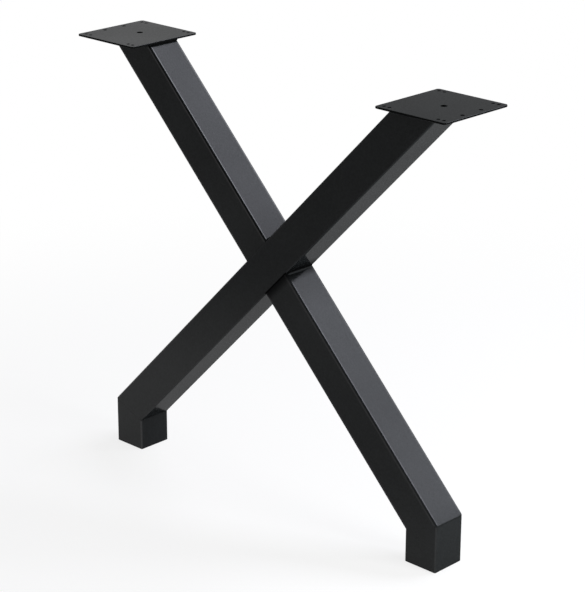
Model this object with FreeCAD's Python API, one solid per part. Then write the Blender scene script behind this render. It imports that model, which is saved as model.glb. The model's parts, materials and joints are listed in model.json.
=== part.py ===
"""An X shaped table leg: a welded frame of square steel tube with two drilled plates for the table top.

Millimetres. X is the leg's width, Y its depth and Z is up. The origin is on the floor, midway between the
feet. One diagonal runs through from the left foot to the right plate. The other diagonal is two halves that
butt against it. Each diagonal turns down into a short upright foot at a mitre, and a cap closes each foot.
"""
import FreeCAD, Part
import math
import os

from FreeCAD import Vector

# Frame
LEG_HEIGHT = 700.0       # floor to the top of the plates
FOOT_SPAN = 700.0        # outside to outside of the two feet
TOP_SPAN = 593.0         # between the axes of the two diagonals, at the underside of the plates
KNEE_HEIGHT = 65.0       # floor to the point where a foot's axis meets its diagonal's axis

# Square tube, cold formed, so the corners are round
TUBE_SIZE = 60.0
TUBE_WALL = 2.0
TUBE_CORNER = 3.0

# Plates
PLATE_LENGTH = 128.0     # along X
PLATE_DEPTH = 138.0      # along Y
PLATE_THICKNESS = 3.0
PLATE_CORNER = 5.0
PLATE_EDGE = 0.4         # edges broken before coating
PLATE_OUTBOARD = 15.5    # plate centre beyond the diagonal's axis, away from the middle of the leg

# Screw holes: two in each corner of a plate, two beside its outer edge and one in the middle
CORNER_HOLE = 5.5
CORNER_HOLE_INSET = 10.0     # outer hole of a corner to the plate's edges
CORNER_HOLE_PITCH = 10.0     # from the outer to the inner hole of a corner, along X
EDGE_HOLE = 6.5
EDGE_HOLE_INSET = 10.0       # to the plate's outer edge
EDGE_HOLE_PITCH = 40.0       # along Y
CENTRE_HOLE = 10.0
LEFT_CENTRE_OUTBOARD = 2.0   # middle hole from the left plate's centre, away from the middle of the leg
LEFT_CENTRE_BACK = 7.0       # and along Y
RIGHT_CENTRE_OUTBOARD = 4.5  # the same for the right plate, whose hole has no offset along Y

# Welds
PLATE_WELD_LEG = 4.0     # fillet under a plate, all the way round the tube
JOINT_WELD_LEG = 4.0     # fillet where a half diagonal meets the through one
UPPER_JOINT_SINK = 0.2   # how far the upper joint's weld lies below the front and back faces
LOWER_JOINT_SINK = 1.6   # the same at the lower joint, where the groove is left open
WELD_TOE = 0.3           # thickness of a fillet's edge on the tube
WELD_CROWN = 0.5         # how far a fillet bulges half way up
MITRE_WELD_WIDTH = 2.4   # seam of a mitre, ground down
MITRE_WELD_DEPTH = 1.2
MITRE_WELD_SINK = 0.1    # how far the ground seam lies below the tube's face

# Foot caps: a ribbed plug inside the tube and a rim below it
CAP_RIM = 2.0
CAP_RIM_EDGE = 1.0
CAP_PLUG_HEIGHT = 16.0
CAP_PLUG_WALL = 2.0
CAP_RIB_COUNT = 3
CAP_RIB_HEIGHT = 1.6
CAP_RIB_DEPTH = 1.2      # how far a rib stands out from the plug
CAP_RIB_CLEARANCE = 0.1  # rib to the tube's inner face

# Worked out from the sizes above
HALF_TUBE = TUBE_SIZE / 2
FOOT_X = FOOT_SPAN / 2 - HALF_TUBE
PLATE_UNDERSIDE = LEG_HEIGHT - PLATE_THICKNESS
RISE = PLATE_UNDERSIDE - KNEE_HEIGHT
RUN = FOOT_X + TOP_SPAN / 2
ANGLE = math.atan2(RISE, RUN)                       # of a diagonal above the floor
CROSSING = Vector(0, 0, KNEE_HEIGHT + FOOT_X * math.tan(ANGLE))
BORE_SIZE = TUBE_SIZE - 2 * TUBE_WALL
BORE_CORNER = TUBE_CORNER - TUBE_WALL
OVERRUN = TUBE_SIZE / math.sin(ANGLE)               # spare length before an end is cut
REACH = 2 * (LEG_HEIGHT + FOOT_SPAN)                # larger than the whole leg
ANGLE_TOLERANCE = 1e-6                              # radians, to tell a face that lies flat
UP = Vector(0, 0, 1)
DEPTH_AXIS = Vector(0, 1, 0)

LEFT = -1
RIGHT = 1


def diagonal_direction(side):
    """Upwards along the diagonal whose plate is on the given side."""
    return Vector(side * math.cos(ANGLE), 0, math.sin(ANGLE))


def knee(side):
    return Vector(side * FOOT_X, 0, KNEE_HEIGHT)


def upright(direction):
    """The rotation about the depth axis that turns the vertical into this direction."""
    return FreeCAD.Rotation(DEPTH_AXIS, math.degrees(math.atan2(direction.x, direction.z)))


def rounded_rectangle(length, depth, corner):
    """A closed wire about the origin, length along X and depth along Y."""
    x = length / 2
    y = depth / 2
    diagonal = corner * (1 - math.sqrt(0.5))
    edges = []
    for sx, sy in ((1, 1), (-1, 1), (-1, -1), (1, -1)):
        on_side = Vector(sx * x, sy * (y - corner), 0)
        on_depth = Vector(sx * (x - corner), sy * y, 0)
        middle = Vector(sx * (x - diagonal), sy * (y - diagonal), 0)
        first, last = (on_side, on_depth) if sx == sy else (on_depth, on_side)
        edges.append((first, middle, last))
    outline = []
    for (first, middle, last), (following, _, _) in zip(edges, edges[1:] + edges[:1]):
        outline.append(Part.Arc(first, middle, last).toShape())
        outline.append(Part.LineSegment(last, following).toShape())
    return Part.Wire(outline)


def bar(start, end, size, corner):
    """A solid square bar with round corners from one point to another, longer by the overrun at both ends."""
    direction = (end - start).normalize()
    wire = rounded_rectangle(size, size, corner)
    wire.Placement = FreeCAD.Placement(start - direction * OVERRUN, upright(direction))
    length = start.distanceToPoint(end) + 2 * OVERRUN
    return Part.Face(wire).extrude(direction * length)


def beyond(point, normal):
    """Everything on the side of a plane to which its normal points, as a block larger than the leg."""
    block = Part.makeBox(REACH, REACH, REACH, Vector(-REACH / 2, -REACH / 2, 0))
    block.Placement = FreeCAD.Placement(point, upright(normal))
    return block


def trimmed(shape, planes):
    """Cuts away what lies beyond each plane, given as a point and a normal that points at the waste."""
    for point, normal in planes:
        shape = shape.cut(beyond(point, normal))
    return shape


class Run:
    """A straight piece of tube: its axis, and the planes that its ends are cut to."""

    def __init__(self, start, end, planes):
        self.start = start
        self.end = end
        self.planes = planes

    def direction(self):
        return (self.end - self.start).normalize()

    def solid(self, inset=0.0):
        """The run without its bore, smaller all round by the inset."""
        return trimmed(bar(self.start, self.end, TUBE_SIZE - 2 * inset, TUBE_CORNER - inset), self.planes)

    def tube(self):
        return self.solid().cut(bar(self.start, self.end, BORE_SIZE, BORE_CORNER))


def mitre_normal(side):
    """Square to the mitre of a foot, pointing up into its diagonal."""
    return (diagonal_direction(-side) + UP).normalize()


def top_plane():
    return Vector(0, 0, PLATE_UNDERSIDE), UP


def face_plane(sign):
    """The through diagonal's upper (1) or lower (-1) face: a point on it and its outward normal."""
    along = diagonal_direction(RIGHT)
    normal = Vector(-along.z, 0, along.x) * sign
    return CROSSING + normal * HALF_TUBE, normal


def top_point(side):
    """Where the axis of the diagonal meets the underside of the plate."""
    return Vector(side * TOP_SPAN / 2, 0, PLATE_UNDERSIDE)


def build_runs():
    """The five runs of tube. A plane's normal points at what is cut off."""
    upper_point, upper_normal = face_plane(1)
    lower_point, lower_normal = face_plane(-1)
    floor_end = (Vector(0, 0, CAP_RIM), UP * -1)
    left_mitre = (knee(LEFT), mitre_normal(LEFT) * -1)
    right_mitre = (knee(RIGHT), mitre_normal(RIGHT) * -1)
    upper_butt = (upper_point, upper_normal * -1)
    lower_butt = (lower_point, lower_normal * -1)
    runs = {
        "through_diagonal_tube": Run(knee(LEFT), top_point(RIGHT), [left_mitre, top_plane()]),
        "upper_half_tube": Run(CROSSING, top_point(LEFT), [upper_butt, top_plane()]),
        "lower_half_tube": Run(knee(RIGHT), CROSSING, [right_mitre, lower_butt]),
    }
    for side, name in ((LEFT, "left"), (RIGHT, "right")):
        on_floor = Vector(knee(side).x, 0, CAP_RIM)
        runs[f"{name}_foot_tube"] = Run(on_floor, knee(side), [floor_end, (knee(side), mitre_normal(side))])
    return runs


def mitre_bands(side, diagonal, foot, sink):
    """The two halves of a mitre's weld, one in the diagonal's wall and one in the foot's.

    Each is a band beside the mitre, as deep as the weld goes into the wall, and lowered from the face by
    the sink.
    """
    half_width = mitre_normal(side) * (MITRE_WELD_WIDTH / 2)
    bands = []
    for run, away in ((diagonal, half_width), (foot, half_width * -1)):
        band = run.solid(sink).cut(run.solid(MITRE_WELD_DEPTH))
        bands.append(trimmed(band, [(knee(side) + away, away)]))
    return bands


def weld_collar(point, normal, axis, leg):
    """A sloping collar round a tube where it meets a flat face.

    On the face it stands out from the tube by the weld's leg, and a leg's height above the face it has
    thinned to the toe, with a slight crown between. The tube leans in the plane of X and Z, so its section on
    the face is longer than the tube is wide.
    """
    slope = axis.dot(normal)
    section = TUBE_SIZE / slope
    middle = (leg + WELD_TOE) / 2 + WELD_CROWN
    wires = []
    for height, stand_off in ((0.0, leg), (leg / 2, middle), (leg, WELD_TOE)):
        wire = rounded_rectangle(section + 2 * stand_off, TUBE_SIZE + 2 * stand_off, TUBE_CORNER + stand_off)
        wire.Placement = FreeCAD.Placement(point + axis * (height / slope), upright(normal))
        wires.append(wire)
    return Part.makeLoft(wires, True, True)


def plate_weld(side, run):
    """The fillet weld that goes all the way round a tube under its plate."""
    collar = weld_collar(top_point(side), UP * -1, diagonal_direction(side) * -1, PLATE_WELD_LEG)
    return collar.cut(run.solid())


def joint_weld(sign, half, through, sink):
    """The weld round the end of a half diagonal.

    It is a fillet in the two inner corners of the X. On the front and back it fills the groove beside the
    through tube's round corner, and lies below the faces by the sink.
    """
    _, normal = face_plane(sign)
    axis = half.direction() * sign
    root = CROSSING + axis * (HALF_TUBE / axis.dot(normal))
    collar = weld_collar(root, normal, axis, JOINT_WELD_LEG)
    section = TUBE_SIZE / axis.dot(normal)
    groove = Part.makeBox(
        section + 2 * JOINT_WELD_LEG,
        TUBE_SIZE,
        TUBE_CORNER,
        Vector(-section / 2 - JOINT_WELD_LEG, -HALF_TUBE, -TUBE_CORNER),
    )
    groove.Placement = FreeCAD.Placement(root, upright(normal))
    depth = TUBE_SIZE - 2 * sink
    between_faces = Part.makeBox(REACH, depth, REACH, Vector(-REACH / 2, -depth / 2, -REACH / 2))
    weld = collar.fuse(groove).common(between_faces)
    return weld.cut(half.solid()).cut(through.solid()).removeSplitter()


def drill(x, y, diameter):
    below = Vector(x, y, PLATE_UNDERSIDE - PLATE_THICKNESS / 2)
    return Part.makeCylinder(diameter / 2, 2 * PLATE_THICKNESS, below)


def top_plate(side):
    """A plate with round corners, drilled for the table top. Its outer edge is away from the other plate."""
    centre = side * (TOP_SPAN / 2 + PLATE_OUTBOARD)
    wire = rounded_rectangle(PLATE_LENGTH, PLATE_DEPTH, PLATE_CORNER)
    wire.Placement = FreeCAD.Placement(Vector(centre, 0, PLATE_UNDERSIDE), FreeCAD.Rotation())
    plate = Part.Face(wire).extrude(UP * PLATE_THICKNESS)
    flat_faces = [face for face in plate.Faces if face.normalAt(0, 0).isParallel(UP, ANGLE_TOLERANCE)]
    rims = [edge for face in flat_faces for edge in face.Edges]
    plate = plate.makeChamfer(PLATE_EDGE, rims)
    holes = []
    for sx in (-1, 1):
        for sy in (-1, 1):
            y = sy * (PLATE_DEPTH / 2 - CORNER_HOLE_INSET)
            for inset in (CORNER_HOLE_INSET, CORNER_HOLE_INSET + CORNER_HOLE_PITCH):
                holes.append(drill(centre + sx * (PLATE_LENGTH / 2 - inset), y, CORNER_HOLE))
    for sy in (-1, 1):
        x = centre + side * (PLATE_LENGTH / 2 - EDGE_HOLE_INSET)
        holes.append(drill(x, sy * EDGE_HOLE_PITCH / 2, EDGE_HOLE))
    outboard, back = {LEFT: (LEFT_CENTRE_OUTBOARD, LEFT_CENTRE_BACK), RIGHT: (RIGHT_CENTRE_OUTBOARD, 0)}[side]
    holes.append(drill(centre + side * outboard, back, CENTRE_HOLE))
    return plate.cut(holes)


def plug_layer(size, bottom, height):
    """A square layer of a cap's plug, with its corners cut off to clear the round corners of the bore."""
    half = size / 2
    near = half - BORE_CORNER
    quarter = [(half, -near), (half, near)]
    outline = []
    for _ in range(4):
        outline += quarter
        quarter = [(-y, x) for x, y in quarter]
    points = [Vector(x, y, bottom) for x, y in outline]
    return Part.Face(Part.makePolygon(points + points[:1])).extrude(UP * height)


def foot_cap(side):
    """A moulded cap: a rim under the tube's end, and above it a hollow plug with ribs that grip the bore."""
    rim = Part.Face(rounded_rectangle(TUBE_SIZE, TUBE_SIZE, TUBE_CORNER)).extrude(UP * CAP_RIM)
    under = [edge for edge in rim.Edges if edge.BoundBox.ZMax < CAP_RIM / 2]
    rim = rim.makeChamfer(CAP_RIM_EDGE, under)
    rib_size = BORE_SIZE - 2 * CAP_RIB_CLEARANCE
    plug_size = rib_size - 2 * CAP_RIB_DEPTH
    cap = rim.fuse(plug_layer(plug_size, CAP_RIM, CAP_PLUG_HEIGHT))
    pitch = CAP_PLUG_HEIGHT / CAP_RIB_COUNT
    for row in range(CAP_RIB_COUNT):
        bottom = CAP_RIM + (row + 1) * pitch - CAP_RIB_HEIGHT
        cap = cap.fuse(plug_layer(rib_size, bottom, CAP_RIB_HEIGHT))
    cap = cap.cut(plug_layer(plug_size - 2 * CAP_PLUG_WALL, CAP_RIM, 2 * CAP_PLUG_HEIGHT))
    cap = cap.removeSplitter()
    cap.translate(Vector(side * FOOT_X, 0, 0))
    return cap


def build():
    runs = build_runs()
    through = runs["through_diagonal_tube"]
    upper = runs["upper_half_tube"]
    lower = runs["lower_half_tube"]
    shapes = {name: run.tube() for name, run in runs.items()}
    corners = ((LEFT, "left", "through_diagonal_tube"), (RIGHT, "right", "lower_half_tube"))
    for side, name, diagonal in corners:
        foot = f"{name}_foot_tube"
        grooves = mitre_bands(side, runs[diagonal], runs[foot], 0)
        for run_name, groove in zip((diagonal, foot), grooves):
            shapes[run_name] = shapes[run_name].cut(groove)
        upper_band, lower_band = mitre_bands(side, runs[diagonal], runs[foot], MITRE_WELD_SINK)
        shapes[f"{name}_mitre_weld"] = upper_band.fuse(lower_band).removeSplitter()
        shapes[f"{name}_foot_cap"] = foot_cap(side)
        shapes[f"{name}_top_plate"] = top_plate(side)
    shapes["left_plate_weld"] = plate_weld(LEFT, upper)
    shapes["right_plate_weld"] = plate_weld(RIGHT, through)
    shapes["upper_joint_weld"] = joint_weld(1, upper, through, UPPER_JOINT_SINK)
    shapes["lower_joint_weld"] = joint_weld(-1, lower, through, LOWER_JOINT_SINK)
    return shapes


os.makedirs("parts", exist_ok=True)
for node, shape in build().items():
    shape.exportStep(f"parts/{node}.step")
    print(node, "solids", len(shape.Solids), "valid", shape.isValid(), "volume", round(shape.Volume, 1))
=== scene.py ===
# %% [markdown]
# # An X shaped table leg
# A welded frame of square steel tube, coated matt black, with two drilled plates on which a table top is
# screwed. The tubes, plates, caps and ground seams come from the packed CAD model and keep their shapes.
# This lesson adds what a solid modeller leaves out: rippled weld beads, the powder coat, the light and the
# camera.

# %% Load the packed leg
import json
import math

import bpy
import numpy as np
from mathutils import Matrix, Vector

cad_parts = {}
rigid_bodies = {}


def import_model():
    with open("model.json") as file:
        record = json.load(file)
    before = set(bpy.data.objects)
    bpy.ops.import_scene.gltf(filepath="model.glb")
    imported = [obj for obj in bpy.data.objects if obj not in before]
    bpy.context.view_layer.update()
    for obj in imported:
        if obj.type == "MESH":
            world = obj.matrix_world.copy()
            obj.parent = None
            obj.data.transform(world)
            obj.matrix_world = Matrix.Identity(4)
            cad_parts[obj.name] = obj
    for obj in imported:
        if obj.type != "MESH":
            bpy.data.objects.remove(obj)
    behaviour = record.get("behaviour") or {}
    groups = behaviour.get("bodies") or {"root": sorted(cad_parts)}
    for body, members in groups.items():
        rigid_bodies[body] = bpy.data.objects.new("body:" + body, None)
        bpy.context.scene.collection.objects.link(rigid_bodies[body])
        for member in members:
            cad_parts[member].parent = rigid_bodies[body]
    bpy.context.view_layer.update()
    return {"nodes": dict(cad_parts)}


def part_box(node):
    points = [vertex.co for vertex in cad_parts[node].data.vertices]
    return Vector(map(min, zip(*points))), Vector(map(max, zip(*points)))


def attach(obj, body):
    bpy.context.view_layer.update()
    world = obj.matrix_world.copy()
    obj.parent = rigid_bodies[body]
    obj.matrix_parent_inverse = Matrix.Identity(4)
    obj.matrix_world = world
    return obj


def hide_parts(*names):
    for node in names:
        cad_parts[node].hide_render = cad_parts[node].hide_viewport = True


for leftover in list(bpy.data.objects):
    bpy.data.objects.remove(leftover)

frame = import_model()
nodes = frame["nodes"]

# %% [markdown]
# ## The leg's own lines
# The welds and the coat follow the tubes, so the few sizes that say where the tubes run are repeated here,
# in metres. They could be measured on the loaded meshes, but these are the model's own numbers. Both
# diagonals lean by the same angle and cross midway between the feet. Each one is described by a point on its
# axis, the direction along it and the direction across it, in the plane of the X.

# %% The lines of the diagonals
TUBE = 0.060
CORNER = 0.003
KNEE = np.array([0.320, 0.0, 0.065])
TOP_X = 0.2965
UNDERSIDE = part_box("left_top_plate")[0].z
LEAN = math.atan2(UNDERSIDE - KNEE[2], KNEE[0] + TOP_X)
CROSSING = np.array([0.0, 0.0, KNEE[2] + KNEE[0] * math.tan(LEAN)])
ORIGIN = np.zeros(3)
RIGHT, DEPTH, UP = np.eye(3)


def upwards(side):
    """The direction up the diagonal whose plate is on this side: -1 is left and 1 is right."""
    return np.array([side * math.cos(LEAN), 0.0, math.sin(LEAN)])


def across(direction):
    """The direction across a tube in the plane of the X, square to its axis and to the depth."""
    return np.cross(direction, DEPTH)


print("lean %.2f degrees, crossing %.1f mm up" % (math.degrees(LEAN), 1000 * CROSSING[2]))

# %% [markdown]
# ## Shader maths as arithmetic
# A material is a network of nodes, and a formula such as `1 - mask` would take several lines of node code.
# This small class holds one output socket. Its operators add the Math nodes, and one method makes any node.

# %% The socket class
class Wire:
    """One output socket of a shader. Sums and products of wires add Math nodes to the material."""

    def __init__(self, tree, socket=None):
        self.tree = tree
        self.socket = socket

    def node(self, kind, inputs=None, output=0, **settings):
        """Adds a node of this type: its settings first, then the values or links of its sockets."""
        made = self.tree.nodes.new(kind)
        for name, value in settings.items():
            setattr(made, name, value)
        for name, value in (inputs or {}).items():
            if isinstance(value, Wire):
                self.tree.links.new(value.socket, made.inputs[name])
            else:
                made.inputs[name].default_value = value
        return Wire(self.tree, made.outputs[output])

    def maths(self, operation, *values):
        return self.node("ShaderNodeMath", dict(enumerate(values)), operation=operation)

    def __add__(self, other):
        return self.maths("ADD", self, other)

    def __sub__(self, other):
        return self.maths("SUBTRACT", self, other)

    def __rsub__(self, other):
        return self.maths("SUBTRACT", other, self)

    def __mul__(self, other):
        return self.maths("MULTIPLY", self, other)

    def __abs__(self):
        return self.maths("ABSOLUTE", self)

    __radd__ = __add__
    __rmul__ = __mul__

    def least(self, other):
        return self.maths("MINIMUM", self, other)

    def most(self, other):
        return self.maths("MAXIMUM", self, other)

    def step(self, low, high):
        """0 below the first value, 1 above the second, and a smooth step between."""
        inputs = {"Value": self, "From Min": low, "From Max": high}
        return self.node("ShaderNodeMapRange", inputs, interpolation_type="SMOOTHSTEP")

    def along(self, point, direction):
        """How far a place lies from a point, measured along a direction."""
        away = self.node("ShaderNodeVectorMath", {0: self, 1: tuple(point)}, operation="SUBTRACT")
        dot = {0: away, 1: tuple(direction)}
        return self.node("ShaderNodeVectorMath", dot, "Value", operation="DOT_PRODUCT")

    def mix(self, share, first, second):
        """A colour between two colours."""
        return self.node("ShaderNodeMix", {0: share, 6: first, 7: second}, 2, data_type="RGBA")

    def noise(self, size, detail=2.0):
        """Smooth noise between 0 and 1, with lumps of about this size in metres."""
        inputs = {"Vector": self, "Scale": 0.5 / size, "Detail": detail}
        return self.node("ShaderNodeTexNoise", inputs, "Fac")


print("a wire can:", [name for name in vars(Wire) if not name.startswith("__")])


# %% Empty materials
def new_material(name):
    """An empty material: returns it, a wire of its tree and the Object coordinates as a wire."""
    material = bpy.data.materials.new(name)
    material.use_nodes = True
    material.node_tree.nodes.clear()
    tree = Wire(material.node_tree)
    return material, tree, tree.node("ShaderNodeTexCoord", output="Object")


def show(tree, shader):
    """Links a finished shader to the material's output."""
    out = tree.tree.nodes.new("ShaderNodeOutputMaterial")
    tree.tree.links.new(shader.socket, out.inputs["Surface"])


print("materials before any is made:", len(bpy.data.materials))

# %% [markdown]
# ## Powder coat
# The steel is sprayed with charged powder and baked. The melt levels to a matt black skin with a fine orange
# peel. A photograph could be wrapped on instead, but noise in Object coordinates has no seams and fits every
# piece. The resin is a thin coat over the dark pigment: it mirrors little head on and more at a flat angle.

# %% The powder coat
PIGMENT_DARK = (0.0100, 0.0114, 0.0119, 1.0)
PIGMENT_LIGHT = (0.0142, 0.0162, 0.0169, 1.0)
PIGMENT_ROUGHNESS = 0.62
# Painted shade: the near black colour, and the share of the resin's gloss taken away, where a painted shade
# mask is 1.
PAINTED_SHADE_COLOUR = (0.002, 0.002, 0.002, 1.0)
SHADE_GLOSS_CUT = 0.95
RESIN_GLOSS = 0.22
RESIN_ROUGHNESS = 0.14
RESIN_IOR = 1.42
GRAIN_SIZE, GRAIN_GLOSS = 0.0013, 0.13
DRIFT_SIZE, DRIFT_GLOSS = 0.070, 0.06
PEEL_SIZE, FINE_PEEL_SIZE, PEEL_HEIGHT = 0.0008, 0.0003, 0.00003


def powder_coat(name, edge=None, painted_shade=None, cut=None):
    """Mottled black: grain and drifts mix two pigments and vary the gloss of the resin on top. The edge mask
    adds gloss, and where the painted shade mask is 1 the colour is painted near black and the gloss is cut,
    as painted shade. The bump is an orange peel of two sizes, with the streaks of a cut edge added if there
    are any."""
    material, tree, place = new_material(name)
    grain = place.noise(GRAIN_SIZE, 3.0)
    drift = place.noise(DRIFT_SIZE)
    mottle = 0.6 * grain + 0.4 * drift
    colour = tree.mix(mottle.step(0.3, 0.7), PIGMENT_DARK, PIGMENT_LIGHT)
    gloss = RESIN_GLOSS + GRAIN_GLOSS * (grain - 0.5) + DRIFT_GLOSS * (drift - 0.5)
    height = place.noise(PEEL_SIZE) + 0.5 * place.noise(FINE_PEEL_SIZE)
    if edge is not None:
        gloss = gloss + edge(place)
    # Painted shade: darkens the colour and cuts the gloss where the mask is 1.
    if painted_shade is not None:
        shadowed = painted_shade(place)
        gloss = gloss * (1 - SHADE_GLOSS_CUT * shadowed)
        colour = tree.mix(shadowed, colour, PAINTED_SHADE_COLOUR)
    if cut is not None:
        height = height + cut(place)
    bump = tree.node("ShaderNodeBump", {"Strength": 0.5, "Distance": PEEL_HEIGHT, "Height": height})
    shader = tree.node("ShaderNodeBsdfPrincipled", {
        "Base Color": colour, "Roughness": PIGMENT_ROUGHNESS + 0.2 * (grain - 0.5),
        "Specular IOR Level": 0.0, "Coat Weight": gloss, "Coat Roughness": RESIN_ROUGHNESS,
        "Coat IOR": RESIN_IOR, "Normal": bump})
    show(tree, shader)
    return material


print("resin gloss:", RESIN_GLOSS, "roughness:", RESIN_ROUGHNESS)

# %% [markdown]
# ## Where the coat is glossy
# Charged powder gathers on outer edges, and the photograph shows a light line along them. It also shows the
# fronts a little lighter towards the floor. One photograph can't say how much of this is the coat and how
# much is the light, so the strengths are simply set by its brightness, as extra gloss. Weight painting could
# mark these places, but a tube is a simple shape, so each mark is a mask: a number worked out from the
# place, mostly from its distance to the tube's axis. The functions below make such masks, in metres.

# %% Masks of a square tube
FLAT_END = TUBE / 2 - CORNER
CREASE = 0.0002
FLAT_BAND = (0.0013, 0.0006)
FRONT_BAND, FRONT_BAND_GLOSS = (0.0022, 0.0012), 0.26


def section(place, point, direction):
    """How far a place lies from a tube's axis, across the tube and in depth, both without a sign."""
    return abs(place.along(point, across(direction))), abs(place.along(point, DEPTH))


def tube_edges(point, direction, gloss):
    """Extra gloss on the round corners of a square tube along this axis: full where a place is far from the
    axis both across the tube and in depth, and none on the flats."""
    def mask(place):
        sideways, deep = section(place, point, direction)
        return gloss * sideways.least(deep).step(FLAT_END, FLAT_END + 0.5 * CORNER)
    return mask


def lit_edges(point, direction, gloss):
    """Extra gloss beside a tube's corners: a narrow band along the edges of the upper and lower flats, which
    has this gloss, and a weaker one along the edges of the front and back."""
    def mask(place):
        sideways, deep = section(place, point, direction)
        flat = (sideways - deep).step(-CREASE, CREASE)
        beside_flat = deep.step(FLAT_END - FLAT_BAND[0], FLAT_END - FLAT_BAND[1])
        beside_front = sideways.step(FLAT_END - FRONT_BAND[0], FLAT_END - FRONT_BAND[1])
        return gloss * flat * beside_flat + FRONT_BAND_GLOSS * (1 - flat) * beside_front
    return mask


def low_fronts(point, direction, gloss, low, high):
    """Extra gloss on the front and back: full below the first height and none above the second."""
    def mask(place):
        sideways, deep = section(place, point, direction)
        front = (deep - sideways).step(-CREASE, CREASE)
        return gloss * front * (1 - place.along(ORIGIN, UP).step(low, high))
    return mask


def added(first, second):
    """The sum of two masks."""
    return lambda place: first(place) + second(place)


print("flats of a tube: %.0f mm wide" % (2000 * FLAT_END))

# %% [markdown]
# ## Painted shade
# The inner corners of the X, the tubes just under the plates, the places round the joints at the crossing, a
# line below each knee and the front half of the round corners on the half diagonals are painted dark and
# less glossy, as painted shade. So is the groove that stays open beside the through tube at the lower side
# of the crossing. The photograph sets their reach and strength. They could be painted in a texture, but a
# mask that is measured from the tubes' own planes is exact.

# %% Masks of corners and grooves
# Where the painted shade on the round corners begins and ends, past the flat.
CORNER_SHADE = (0.0006, 0.0014)
ROUNDING = (0.0012, 0.0004)
BEHIND = (-0.0010, -0.0005)


def painted_shade_corners(point, direction, strength):
    """Painted shade: the strength on the half of each round corner that turns to the front or back."""
    def mask(place):
        sideways, deep = section(place, point, direction)
        front = (deep - sideways).step(-0.5 * CREASE, 1.5 * CREASE)
        return strength * front * sideways.step(FLAT_END + CORNER_SHADE[0], FLAT_END + CORNER_SHADE[1])
    return mask


def near_plane(point, normal, reach, strength=1.0):
    """The strength at a plane, falling to 0 at this reach in front of it, and 0 behind it."""
    def mask(place):
        ahead = place.along(point, normal)
        return strength * (1 - ahead.step(0.0, reach)) * ahead.step(*BEHIND)
    return mask


def on_flat(point, normal):
    """1 on the flat of a tube that faces along this normal, and 0 on its other sides."""
    return lambda place: place.along(point, normal).step(TUBE / 2 - ROUNDING[0], TUBE / 2 - ROUNDING[1])


def both(first, second):
    """Where two masks hold: their product."""
    return lambda place: first(place) * second(place)


def either(first, *others):
    """Where any of several masks holds: the greatest of them."""
    def mask(place):
        greatest = first(place)
        for other in others:
            greatest = greatest.most(other(place))
        return greatest
    return mask


print("a corner turns dull %.1f to %.1f mm past its flat" % tuple(1000 * past for past in CORNER_SHADE))

# %% The leg's inner corners
ABOVE = across(upwards(1))
BELOW = -ABOVE
BESIDE = -across(upwards(-1))
LEFT_KNEE = KNEE * (-1, 1, 1)
THROUGH = (CROSSING, upwards(1))
HALVES = (CROSSING, upwards(-1))
LOWER_JOINT = (CROSSING + BELOW * TUBE / 2, BELOW)
UPPER_JOINT = (CROSSING + ABOVE * TUBE / 2, ABOVE)
BESIDE_HALF = (CROSSING + BESIDE * TUBE / 2, BESIDE)
GROOVE_FADE, GROOVE_RISE = 0.003, 0.01


def painted_shade_groove(place):
    """Painted shade: 1 on the lower round corners of the through tube, along the end of the lower half
    diagonal.
    """
    length = 1 - abs(place.along(*THROUGH)).step(TUBE / 2, TUBE / 2 + GROOVE_FADE)
    lower = place.along(CROSSING, BELOW).step(0.0, GROOVE_RISE)
    return tube_edges(*THROUGH, gloss=1.0)(place) * length * lower


def painted_shade_knee_line(side):
    """A line of painted shade on the upright outer side of a foot, just below the ground edge of its knee.
    """
    knee = KNEE * (side, 1, 1)
    mitre = upwards(-side) + UP
    below_mitre = near_plane(knee, -mitre / np.linalg.norm(mitre), reach=0.0035, strength=0.6)
    return both(on_flat(knee, side * RIGHT), below_mitre)


# Painted shade: under the plates, on the through tube's flat beside the lower half, and on the half
# diagonals round the joints.
painted_shade_under_plate = near_plane(UNDERSIDE * UP, -UP, reach=0.007)
painted_shade_beside_joint = both(on_flat(CROSSING, BELOW), near_plane(*BESIDE_HALF, reach=0.034, strength=0.85))
painted_shade_below_joint = either(
    near_plane(*LOWER_JOINT, reach=0.020, strength=0.85),
    near_plane(*LOWER_JOINT, reach=0.080, strength=0.15))
painted_shade_above_joint = near_plane(*UPPER_JOINT, reach=0.080, strength=0.15)
print("joints %.0f and %.0f mm up" % (1000 * LOWER_JOINT[0][2], 1000 * UPPER_JOINT[0][2]))

# %% [markdown]
# ## Coat the tubes and seams
# One coat could serve all the tubes, but the masks measure from a tube's own axis, so each tube gets its
# own. The strengths differ from tube to tube, as the photograph's brightness does. A ground seam has to
# vanish in the finished leg, so it takes the same gloss as the tubes that it joins.

# %% Tubes and seams
def left_fronts(point, direction):
    """The fronts from the through tube down to the left foot: glossier towards the floor."""
    return low_fronts(point, direction, gloss=0.31, low=0.14, high=0.42)


def right_fronts(point, direction):
    """The fronts from the half diagonals down to the right foot: glossier below the crossing and in the
    foot."""
    return added(
        low_fronts(point, direction, gloss=0.10, low=0.36, high=0.60),
        low_fronts(point, direction, gloss=0.15, low=0.00, high=0.13))


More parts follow.
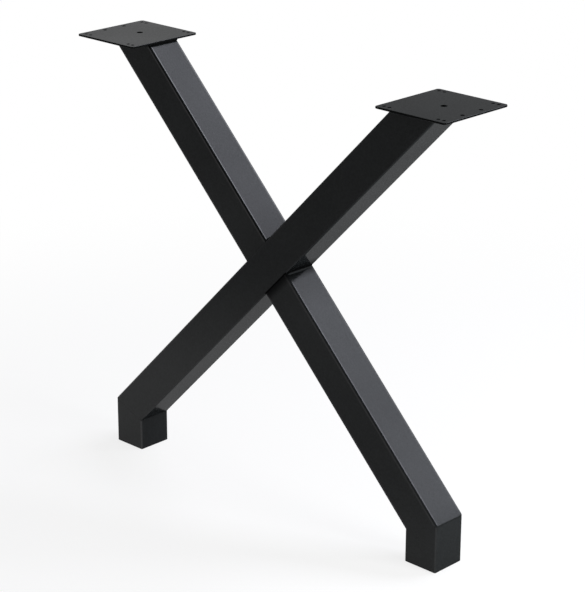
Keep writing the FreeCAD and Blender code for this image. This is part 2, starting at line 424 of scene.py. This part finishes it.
# Each tube: its extra gloss, then its painted shade.
tube_coats = {
    "through_diagonal_tube": (
        added(tube_edges(*THROUGH, gloss=0.10), left_fronts(*THROUGH)),
        either(painted_shade_under_plate, painted_shade_groove, painted_shade_beside_joint)),
    "upper_half_tube": (
        added(lit_edges(*HALVES, gloss=0.45), right_fronts(*HALVES)),
        either(painted_shade_under_plate, painted_shade_above_joint, painted_shade_corners(*HALVES, strength=0.75))),
    "lower_half_tube": (
        added(lit_edges(*HALVES, gloss=0.30), right_fronts(*HALVES)),
        either(painted_shade_below_joint, painted_shade_corners(*HALVES, strength=0.28))),
    "left_foot_tube": (
        added(tube_edges(LEFT_KNEE, UP, gloss=0.80), left_fronts(LEFT_KNEE, UP)), painted_shade_knee_line(-1)),
    "right_foot_tube": (
        added(tube_edges(KNEE, UP, gloss=0.40), right_fronts(KNEE, UP)), painted_shade_knee_line(1)),
    "left_mitre_weld": (left_fronts(LEFT_KNEE, UP), None),
    "right_mitre_weld": (right_fronts(KNEE, UP), None),
}
for name, (edge, painted_shade) in tube_coats.items():
    nodes[name].data.materials[0] = powder_coat(name + "_powder_coat", edge, painted_shade)
print("powder coated:", list(tube_coats))

# %% [markdown]
# ## The plates
# Such plates are usually cut by laser, holes and all, before they are coated, and the laser leaves upright
# streaks on the cut walls. The walls of the holes are painted dark, as painted shade, and the cut rim nearly
# as dark. A second material on those faces would do, but with a mask no faces have to be picked. The walls
# are found by the surface's own direction, and a rim is told from a hole by its distance to the plate's
# outline.

# %% Plates
PLATE_X = 0.312
PLATE_HALF = (0.064, 0.069)
RIM, RIM_SHADE = 0.003, 0.75
STREAK_SIZE, STREAK_HEIGHT = 0.0005, 2.5
STREAK_DRAW = (1.0, 1.0, 0.06)


def upright_walls(place):
    """1 on the upright walls of a plate, and 0 on its flats."""
    normal = place.node("ShaderNodeNewGeometry", output="Normal")
    return 1 - abs(normal.along(ORIGIN, UP)).step(0.3, 0.8)


def inside_plate(place):
    """1 inside a plate's outline and 0 at its rim. The plates are alike in outline, so the left one is
    folded on the right."""
    x = abs(abs(place.along(ORIGIN, RIGHT)) - PLATE_X)
    y = abs(place.along(ORIGIN, DEPTH))
    return (PLATE_HALF[0] - x).least(PLATE_HALF[1] - y).step(0.5 * RIM, RIM)


def painted_shade_walls(place):
    """Painted shade: 1 on the walls of the holes, a little less on the rim, and 0 on the flats."""
    return upright_walls(place) * (RIM_SHADE + (1 - RIM_SHADE) * inside_plate(place))


def cut_streaks(place):
    """Upright streaks on the walls: noise that is drawn out along the height."""
    drawn = place.node("ShaderNodeMapping", {"Vector": place, "Scale": STREAK_DRAW})
    return upright_walls(place) * (STREAK_HEIGHT * drawn.noise(STREAK_SIZE))


plate_finish = powder_coat("plate_powder_coat", painted_shade=painted_shade_walls, cut=cut_streaks)
for name in ("left_top_plate", "right_top_plate"):
    nodes[name].data.materials[0] = plate_finish
print("plates:", plate_finish.name)

# %% [markdown]
# ## Foot caps
# The undersides of the feet can't be seen in the photograph. Such feet are usually closed by a moulded plug
# whose rim rests on the floor, with the even, fine grain of a spark eroded mould. The powder coat could be
# used again, but moulded plastic is duller, so it has a finish of its own.

# %% Cap plastic
CAP_DARK = (0.0080, 0.0082, 0.0084, 1.0)
CAP_LIGHT = (0.0125, 0.0127, 0.0130, 1.0)
SPARK_SIZE, SPARK_HEIGHT, FLOW_SIZE = 0.0005, 0.00004, 0.012


def cap_plastic():
    """Dull black plastic: spark grain is the bump, and broad lumps vary the colour and the gloss."""
    material, tree, place = new_material("cap_matt_plastic")
    grain = place.noise(SPARK_SIZE)
    flow = place.noise(FLOW_SIZE)
    colour = tree.mix(flow, CAP_DARK, CAP_LIGHT)
    bump = tree.node("ShaderNodeBump", {"Strength": 0.6, "Distance": SPARK_HEIGHT, "Height": grain})
    shader = tree.node("ShaderNodeBsdfPrincipled", {
        "Base Color": colour, "Roughness": 0.7 + 0.2 * (flow - 0.5), "Specular IOR Level": 0.0,
        "Coat Weight": 0.2 + 0.1 * (flow - 0.5), "Coat Roughness": 0.5, "Normal": bump})
    show(tree, shader)
    return material


cap_finish = cap_plastic()
for name in ("left_foot_cap", "right_foot_cap"):
    nodes[name].data.materials[0] = cap_finish
print("caps:", cap_finish.name)

# %% [markdown]
# ## Weld beads
# A weld is laid as a row of small pools, each frozen over the last, so its face is a scalloped fillet. The
# solid model has a plain fillet there. A bump could fake the ripples, but they show in the bead's outline,
# so they are shaped. A bead is a closed profile carried round the end of a tube: on its face a shallow bulge
# with ripples, and behind it a root that is sunk into both metals, as real weld metal is.

# %% The path round a tube's end
STEPS = 960
CORNER_STEPS = 16


def tube_outline():
    """Walks round the tube's square section at even steps: four quarter circles joined by straight sides.
    Returns the distance walked, the points and the outward normals, both as (across, depth)."""
    quarter = np.linspace(0, math.pi / 2, CORNER_STEPS)
    turn = (np.arange(4)[:, None] * math.pi / 2 + quarter).ravel()
    normal = np.stack([np.cos(turn), np.sin(turn)], axis=1)
    centre = np.repeat([[1, 1], [-1, 1], [-1, -1], [1, -1]], CORNER_STEPS, axis=0) * FLAT_END
    table = np.hstack([centre + CORNER * normal, normal])
    table = np.vstack([table, table[:1]])
    walked = np.concatenate([[0], np.cumsum(np.linalg.norm(np.diff(table[:, :2], axis=0), axis=1))])
    steps = np.linspace(0, walked[-1], STEPS, endpoint=False)
    even = np.stack([np.interp(steps, walked, column) for column in table.T], axis=1)
    even[:, 2:] /= np.linalg.norm(even[:, 2:], axis=1, keepdims=True)
    return steps, even[:, :2], even[:, 2:]


def tube_end(axis_point, away, face_point, face_normal):
    """The tube's outline slid along its axis on to a face. Returns the distance walked, the points there,
    the tube's outward normals, and the outward directions in the face, square to the path."""
    walked, flat, flat_normal = tube_outline()
    sideways = across(away)
    start = axis_point + flat[:, :1] * sideways + flat[:, 1:] * DEPTH
    slide = ((face_point - start) @ face_normal) / (away @ face_normal)
    root = start + slide[:, None] * away
    normal = flat_normal[:, :1] * sideways + flat_normal[:, 1:] * DEPTH
    tangent = np.roll(root, -1, axis=0) - np.roll(root, 1, axis=0)
    outward = np.cross(tangent, face_normal)
    outward /= np.linalg.norm(outward, axis=1, keepdims=True)
    outward *= np.sign(np.sum(outward * normal, axis=1, keepdims=True))
    return walked, root, normal, outward


print("a step along a bead: %.2f mm" % (1000 * tube_outline()[0][1]))

# %% The bead's surface
PITCH = 0.0023
CROWN = 0.0005
RIPPLE = 0.00022
BOW = 0.55
WANDER = ((0.25, 170, 0.0), (0.2, 61, 1.3))
FACE_COLUMNS = 11


def waves(walked, *terms):
    """A sum of sine waves along the path. Each term is a height, radians per metre and a starting angle."""
    return sum(height * np.sin(walked * rate + start) for height, rate, start in terms)


def bead_surface(walked, toe_tube, toe_face, bulge, amount, ripple, hidden):
    """A closed profile at every step of the path. The face runs from the toe on the tube to the toe on the
    other metal, pushed out by a parabola. Each ripple is half a sine wave, bowed forwards along the path by
    a second parabola. Hidden points close the profile inside the metal."""
    v = np.linspace(0, 1, FACE_COLUMNS)
    arch = 4 * v * (1 - v)
    phase = (walked / PITCH + waves(walked, *WANDER))[:, None] - BOW * arch
    scallop = np.abs(np.sin(math.pi * phase)) * np.sqrt(arch)
    push = amount[:, None] * arch + ripple[:, None] * scallop
    face = toe_tube[:, None] * (1 - v)[:, None] + toe_face[:, None] * v[:, None]
    face = face + push[..., None] * bulge[:, None]
    return np.concatenate([face, np.stack(hidden, axis=1)], axis=1)


print("ripples about %.1f mm apart" % (1000 * PITCH))


# %% From a grid to a finished bead
def ring_mesh(name, grid):
    """A mesh from a grid of points that is closed both along the path and round the profile."""
    rows, columns = grid.shape[:2]
    index = np.arange(rows * columns).reshape(rows, columns)
    ahead = np.roll(index, -1, axis=0)
    quads = np.stack([index, np.roll(index, -1, axis=1), np.roll(ahead, -1, axis=1), ahead], axis=-1)
    quads = quads.reshape(-1, 4)
    spin = np.cross(np.roll(grid, -1, axis=0) - grid, np.roll(grid, -1, axis=1) - grid)
    if np.sum(spin * (grid - grid.mean(axis=1, keepdims=True))) > 0:
        quads = quads[:, ::-1]
    mesh = bpy.data.meshes.new(name)
    mesh.vertices.add(rows * columns)
    mesh.vertices.foreach_set("co", grid.reshape(-1).astype(np.float32))
    mesh.loops.add(quads.size)
    mesh.loops.foreach_set("vertex_index", quads.reshape(-1).astype(np.int32))
    mesh.polygons.add(len(quads))
    mesh.polygons.foreach_set("loop_start", np.arange(0, quads.size, 4, dtype=np.int32))
    mesh.polygons.foreach_set("use_smooth", np.ones(len(quads), dtype=bool))
    mesh.update(calc_edges=True)
    mesh.validate()
    piece = bpy.data.objects.new(name, mesh)
    bpy.context.scene.collection.objects.link(piece)
    return piece


def finish_bead(name, grid, node, finish):
    """Makes the bead's object, coats it and lets it stand for the plain weld of the solid model."""
    piece = ring_mesh(name, grid)
    piece.data.materials.append(finish)
    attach(piece, "root")
    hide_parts(node)
    print(name, "faces:", len(piece.data.polygons))


print("a bead's grid: %d steps, %d points across its face" % (STEPS, FACE_COLUMNS))

# %% [markdown]
# ## The welds under the plates
# These go all the way round the tube, one leg wide on the plate and one leg high on the tube. A hand-laid
# bead is never quite even. Random numbers could vary its width, but two sine waves do it the same way each
# time. It lies in the inner corner under the plate, and is painted nearly black and dull, as painted shade.

# %% Plate welds
SINK = 0.0003
PLATE_LEG, PLATE_SHARE = 0.0034, 0.93
PATCH_SIZE, LEAST_SHADE = 0.0012, 0.7


def painted_shade_bead(place):
    """Painted shade nearly all over, with small patches where less is painted and some gloss is left."""
    return LEAST_SHADE + (1 - LEAST_SHADE) * place.noise(PATCH_SIZE)


def plate_bead(side):
    """The fillet round the end of a diagonal: its toes lie one leg below the plate on the tube and one leg
    out from the tube on the plate, and the bulge points half way between."""
    away = -upwards(side)
    down = -UP
    top = np.array([side * TOP_X, 0.0, UNDERSIDE])
    walked, root, normal, outward = tube_end(top, away, top, down)
    leg = PLATE_LEG * (PLATE_SHARE + waves(walked, (0.05, 140, 0.0), (0.03, 410, side)))[:, None]
    toe_tube = root + leg * away / (away @ down)
    toe_face = root + leg * outward
    bulge = outward + down
    bulge /= np.linalg.norm(bulge, axis=1, keepdims=True)
    hidden = [toe_face - SINK * down, root - SINK * down - SINK * normal, toe_tube - SINK * normal]
    even = np.ones(STEPS)
    return bead_surface(walked, toe_tube, toe_face, bulge, CROWN * even, RIPPLE * even, hidden)


plate_bead_finish = powder_coat("plate_bead_powder_coat", painted_shade=painted_shade_bead)
for side, hand in ((-1, "left"), (1, "right")):
    finish_bead(hand + "_plate_weld_bead", plate_bead(side), hand + "_plate_weld", plate_bead_finish)

# %% [markdown]
# ## The welds at the crossing
# A half diagonal butts on a flat of the through one. In the two inner corners of the X its weld is a fillet.
# On the front and back the through tube's round corner leaves a narrow groove. The upper joint's weld is
# dressed to just below the faces there, and the lower joint's lies deep in the groove, which shows as a dark
# line; the lower joint's fillet and the round corners in its groove are painted dark too, as painted shade.
# Two pieces could be made for the two forms, but one weight, 1 in the corners and 0 on the faces, blends
# them without a seam.

# %% Shape of the joint welds
JOINT_LEG, JOINT_SHARE = 0.004, 0.95
FACE_MARGIN = 0.0002
FACE_HOLLOW, FACE_RIPPLE = 0.0001, 0.25


def smooth(value, low, high):
    """0 below the first value, 1 above the second, and a smooth step between."""
    share = np.clip((value - low) / (high - low), 0, 1)
    return share * share * (3 - 2 * share)


def flat_height(depth):
    """How far the through tube's surface lies above its flat at this depth: 0 on the flat, and then down the
    quarter circle of its corner."""
    past = np.clip(np.abs(depth) - FLAT_END, 0, CORNER)
    return np.sqrt(CORNER ** 2 - past ** 2) - CORNER


def joint_bead(sign, dressed):
    """sign is 1 for the upper half diagonal and -1 for the lower. On the faces the weld lies deeper than the
    tubes by the dressed depth."""
    away = sign * upwards(-1)
    out_of_flat = sign * ABOVE
    walked, root, normal, outward = tube_end(CROSSING, away, CROSSING + out_of_flat * TUBE / 2, out_of_flat)
    corner = 1 - smooth(np.abs(root[:, 1]), TUBE / 2 - 2 * CORNER, TUBE / 2 - FACE_MARGIN)[:, None]
    leg = JOINT_LEG * corner * (JOINT_SHARE + waves(walked, (0.05, 160, 0.0)))[:, None]
    toe_tube = root + leg * away / (away @ out_of_flat) - dressed * (1 - corner) * normal
    toe_face = root + leg * outward
    limit = TUBE / 2 - dressed
    toe_face[:, 1] = np.clip(toe_face[:, 1], -limit, limit)
    toe_face = toe_face + flat_height(toe_face[:, 1])[:, None] * out_of_flat
    bulge = corner * (outward + out_of_flat) + (1 - corner) * normal
    bulge /= np.linalg.norm(bulge, axis=1, keepdims=True)
    hidden = [
        toe_face - SINK * (corner * out_of_flat + (1 - corner) * normal),
        root - 3 * SINK * normal - SINK * out_of_flat,
        toe_tube - SINK * corner * normal + SINK * (1 - corner) * away,
    ]
    weight = corner[:, 0]
    amount = CROWN * weight - FACE_HOLLOW * (1 - weight)
    ripple = RIPPLE * (FACE_RIPPLE + (1 - FACE_RIPPLE) * weight)
    return bead_surface(walked, toe_tube, toe_face, bulge, amount, ripple, hidden)


print("legs of the joint welds: %.1f mm" % (1000 * JOINT_LEG))

# %% Joint welds
UPPER_DRESSED, LOWER_DRESSED = 0.0002, 0.0017
TOE_FADE, FACE_FADE = (0.0010, 0.0024), 0.002


def painted_shade_in_corner(place):
    """Painted shade: 1 on a fillet beside the through tube, falling to 0 at its toe on the half diagonal
    and on the faces."""
    rise = abs(place.along(CROSSING, ABOVE)) - TUBE / 2
    deep = abs(place.along(CROSSING, DEPTH))
    return (1 - rise.step(*TOE_FADE)) * (1 - deep.step(FLAT_END, FLAT_END + FACE_FADE))


finish_bead("upper_joint_weld_bead", joint_bead(1, UPPER_DRESSED), "upper_joint_weld",
            powder_coat("upper_bead_powder_coat"))
finish_bead("lower_joint_weld_bead", joint_bead(-1, LOWER_DRESSED), "lower_joint_weld",
            powder_coat("joint_bead_powder_coat", painted_shade=painted_shade_in_corner))

# %% [markdown]
# ## Floor
# The leg stands on a white floor in a bright studio. To the camera and in reflections the floor is plain
# white, apart from the leg's soft shadow close by. For the light that it throws back it is a pale, matt
# sheet. More light would whiten it too, but would also change the look of the leg.

# %% The floor's sheet
FLOOR_DROP = 0.0004
FLOOR_HALF = 9.0
FLOOR_LINES = 13


def floor_sheet():
    """A flat square grid just under the feet."""
    line = np.linspace(-FLOOR_HALF, FLOOR_HALF, FLOOR_LINES)
    x, y = np.meshgrid(line, line, indexing="ij")
    points = np.stack([x, y, np.full_like(x, -FLOOR_DROP)], axis=-1)
    index = np.arange(x.size).reshape(x.shape)
    quads = np.stack([index[:-1, :-1], index[1:, :-1], index[1:, 1:], index[:-1, 1:]], axis=-1)
    mesh = bpy.data.meshes.new("floor")
    mesh.from_pydata(points.reshape(-1, 3).tolist(), [], quads.reshape(-1, 4).tolist())
    return bpy.data.objects.new("floor", mesh)


floor = floor_sheet()
bpy.context.scene.collection.objects.link(floor)
print("floor:", 2 * FLOOR_HALF, "m square")

# %% The floor's finish
WHITE = (1.0, 1.0, 1.0, 1.0)
PALE = (0.62, 0.62, 0.62, 1.0)
SHADED = (0.95, 0.95, 0.95, 1.0)
PLAIN_SHARE = 0.82
SHADOW_NEAR, SHADOW_FAR = 0.5, 1.6


def seen_rays(tree):
    """1 for rays from the camera, in reflections and through clear things, and 0 for the light itself."""
    camera_ray, glossy_ray, clear_ray = [
        tree.node("ShaderNodeLightPath", output=kind)
        for kind in ("Is Camera Ray", "Is Glossy Ray", "Is Transmission Ray")]
    return camera_ray.most(glossy_ray).most(clear_ray)


def floor_finish():
    """White to the camera and to reflections, matt and pale to other rays. Near the leg a share of the matt
    sheet shows, which carries the shadow. From below the floor is clear."""
    material, tree, place = new_material("white_floor")
    radius = tree.node("ShaderNodeVectorMath", {0: place}, "Value", operation="LENGTH")
    pale = tree.node("ShaderNodeBsdfDiffuse", {"Color": PALE})
    shaded = tree.node("ShaderNodeBsdfDiffuse", {"Color": SHADED})
    white = tree.node("ShaderNodeEmission", {"Color": WHITE, "Strength": 1.0})
    clear = tree.node("ShaderNodeBsdfTransparent")
    plain = PLAIN_SHARE + (1 - PLAIN_SHARE) * radius.step(SHADOW_NEAR, SHADOW_FAR)
    shown = tree.node("ShaderNodeMixShader", {0: plain, 1: shaded, 2: white})
    sheet = tree.node("ShaderNodeMixShader", {0: seen_rays(tree), 1: pale, 2: shown})
    below = tree.node("ShaderNodeNewGeometry", output="Backfacing")
    show(tree, tree.node("ShaderNodeMixShader", {0: below, 1: sheet, 2: clear}))
    return material


floor.data.materials.append(floor_finish())
print("floor finish:", floor.data.materials[0].name)

# %% [markdown]
# ## Walls and ceiling
# Behind the floor the studio's walls are white too. They darken upwards to a dim ceiling, which only
# reflections show: the flat plates mirror the wall low down, and the tubes' round corners mirror more of the
# ceiling. Planes could be built for them, but a world needs no shapes and gives an even fill as well.

# %% The studio's walls and ceiling
WORLD_FILL = 0.20
CEILING = 0.10
WALL_TOP, CEILING_FROM = (math.sin(math.radians(angle)) for angle in (7, 36))
world = bpy.data.worlds.new("studio")
bpy.context.scene.world = world
world.use_nodes = True
world.node_tree.nodes.clear()
studio = Wire(world.node_tree)
direction = studio.node("ShaderNodeTexCoord", output="Generated")
overhead = direction.along(ORIGIN, UP).step(WALL_TOP, CEILING_FROM)
camera_ray = studio.node("ShaderNodeLightPath", output="Is Camera Ray")
wall = 1 - (1 - CEILING) * overhead * (1 - camera_ray)
level = WORLD_FILL + seen_rays(studio) * (wall - WORLD_FILL)
background = studio.node("ShaderNodeBackground", {"Color": WHITE, "Strength": level})
out = world.node_tree.nodes.new("ShaderNodeOutputWorld")
world.node_tree.links.new(background.socket, out.inputs["Surface"])
print("studio fill:", WORLD_FILL)

# %% [markdown]
# ## Lamps
# A long soft lamp behind the leg lies about where the upper sides of the half diagonals mirror it to the
# camera, and follows their slope, so that it fills them evenly. Two small ones light the left and right
# sides. A point lamp would give hard shadows and small bright spots instead.

# %% Lamps
AIM = Vector((0.0, 0.0, 0.35))


def lamp(name, direction, distance, long_side, size, power, colour=(1.0, 1.0, 1.0)):
    """A soft lamp in this direction from the middle of the leg, turned towards it. Its long side lies along
    the given direction, as nearly as it can."""
    data = bpy.data.lights.new(name, "AREA")
    data.shape = "RECTANGLE"
    data.size, data.size_y = size
    data.energy = power
    data.color = colour
    z = Vector(direction).normalized()
    y = z.cross(Vector(long_side)).normalized()
    turn = Matrix((y.cross(z), y, z)).transposed().to_4x4()
    lit = bpy.data.objects.new(name, data)
    lit.matrix_world = Matrix.Translation(AIM + distance * z) @ turn
    lit.visible_camera = False
    bpy.context.scene.collection.objects.link(lit)


lamp("key_lamp", (0.30, 0.61, 0.73), distance=2.47, long_side=upwards(-1), size=(2.2, 0.9), power=62.0,
     colour=(0.89, 0.905, 1.0))
lamp("left_lamp", (-0.76, 0.52, 0.39), distance=1.6, long_side=DEPTH, size=(0.5, 0.5), power=0.5)
lamp("right_lamp", (0.97, 0.10, 0.20), distance=1.5, long_side=DEPTH, size=(0.6, 0.6), power=15.0)

# %% [markdown]
# ## Camera
# The photograph was taken from the front right, a little above, with a long lens. The camera could be placed
# by eye, but its angles, distance and focal length were fitted to the edges of the tubes and plates.

# %% Camera
AZIMUTH, ELEVATION, ROLL = (math.radians(angle) for angle in (43.732, 20.054, -0.22))
DISTANCE = 3.252946
TARGET = Vector((0.028091, 0.0, 0.346639))
LENS = 129.53
back = Vector((
    math.sin(AZIMUTH) * math.cos(ELEVATION), -math.cos(AZIMUTH) * math.cos(ELEVATION), math.sin(ELEVATION)))
view = bpy.data.cameras.new("camera")
view.lens = LENS
camera = bpy.data.objects.new("camera", view)
camera.matrix_world = (
    Matrix.Translation(TARGET + DISTANCE * back) @ back.to_track_quat("Z", "Y").to_matrix().to_4x4()
    @ Matrix.Rotation(-ROLL, 4, "Z"))
bpy.context.scene.collection.objects.link(camera)
bpy.context.scene.camera = camera
bpy.context.scene.view_settings.view_transform = "Standard"
print("camera at", [round(c, 4) for c in camera.matrix_world.translation])

# %% [markdown]
# The beads must not reach past the solid model.
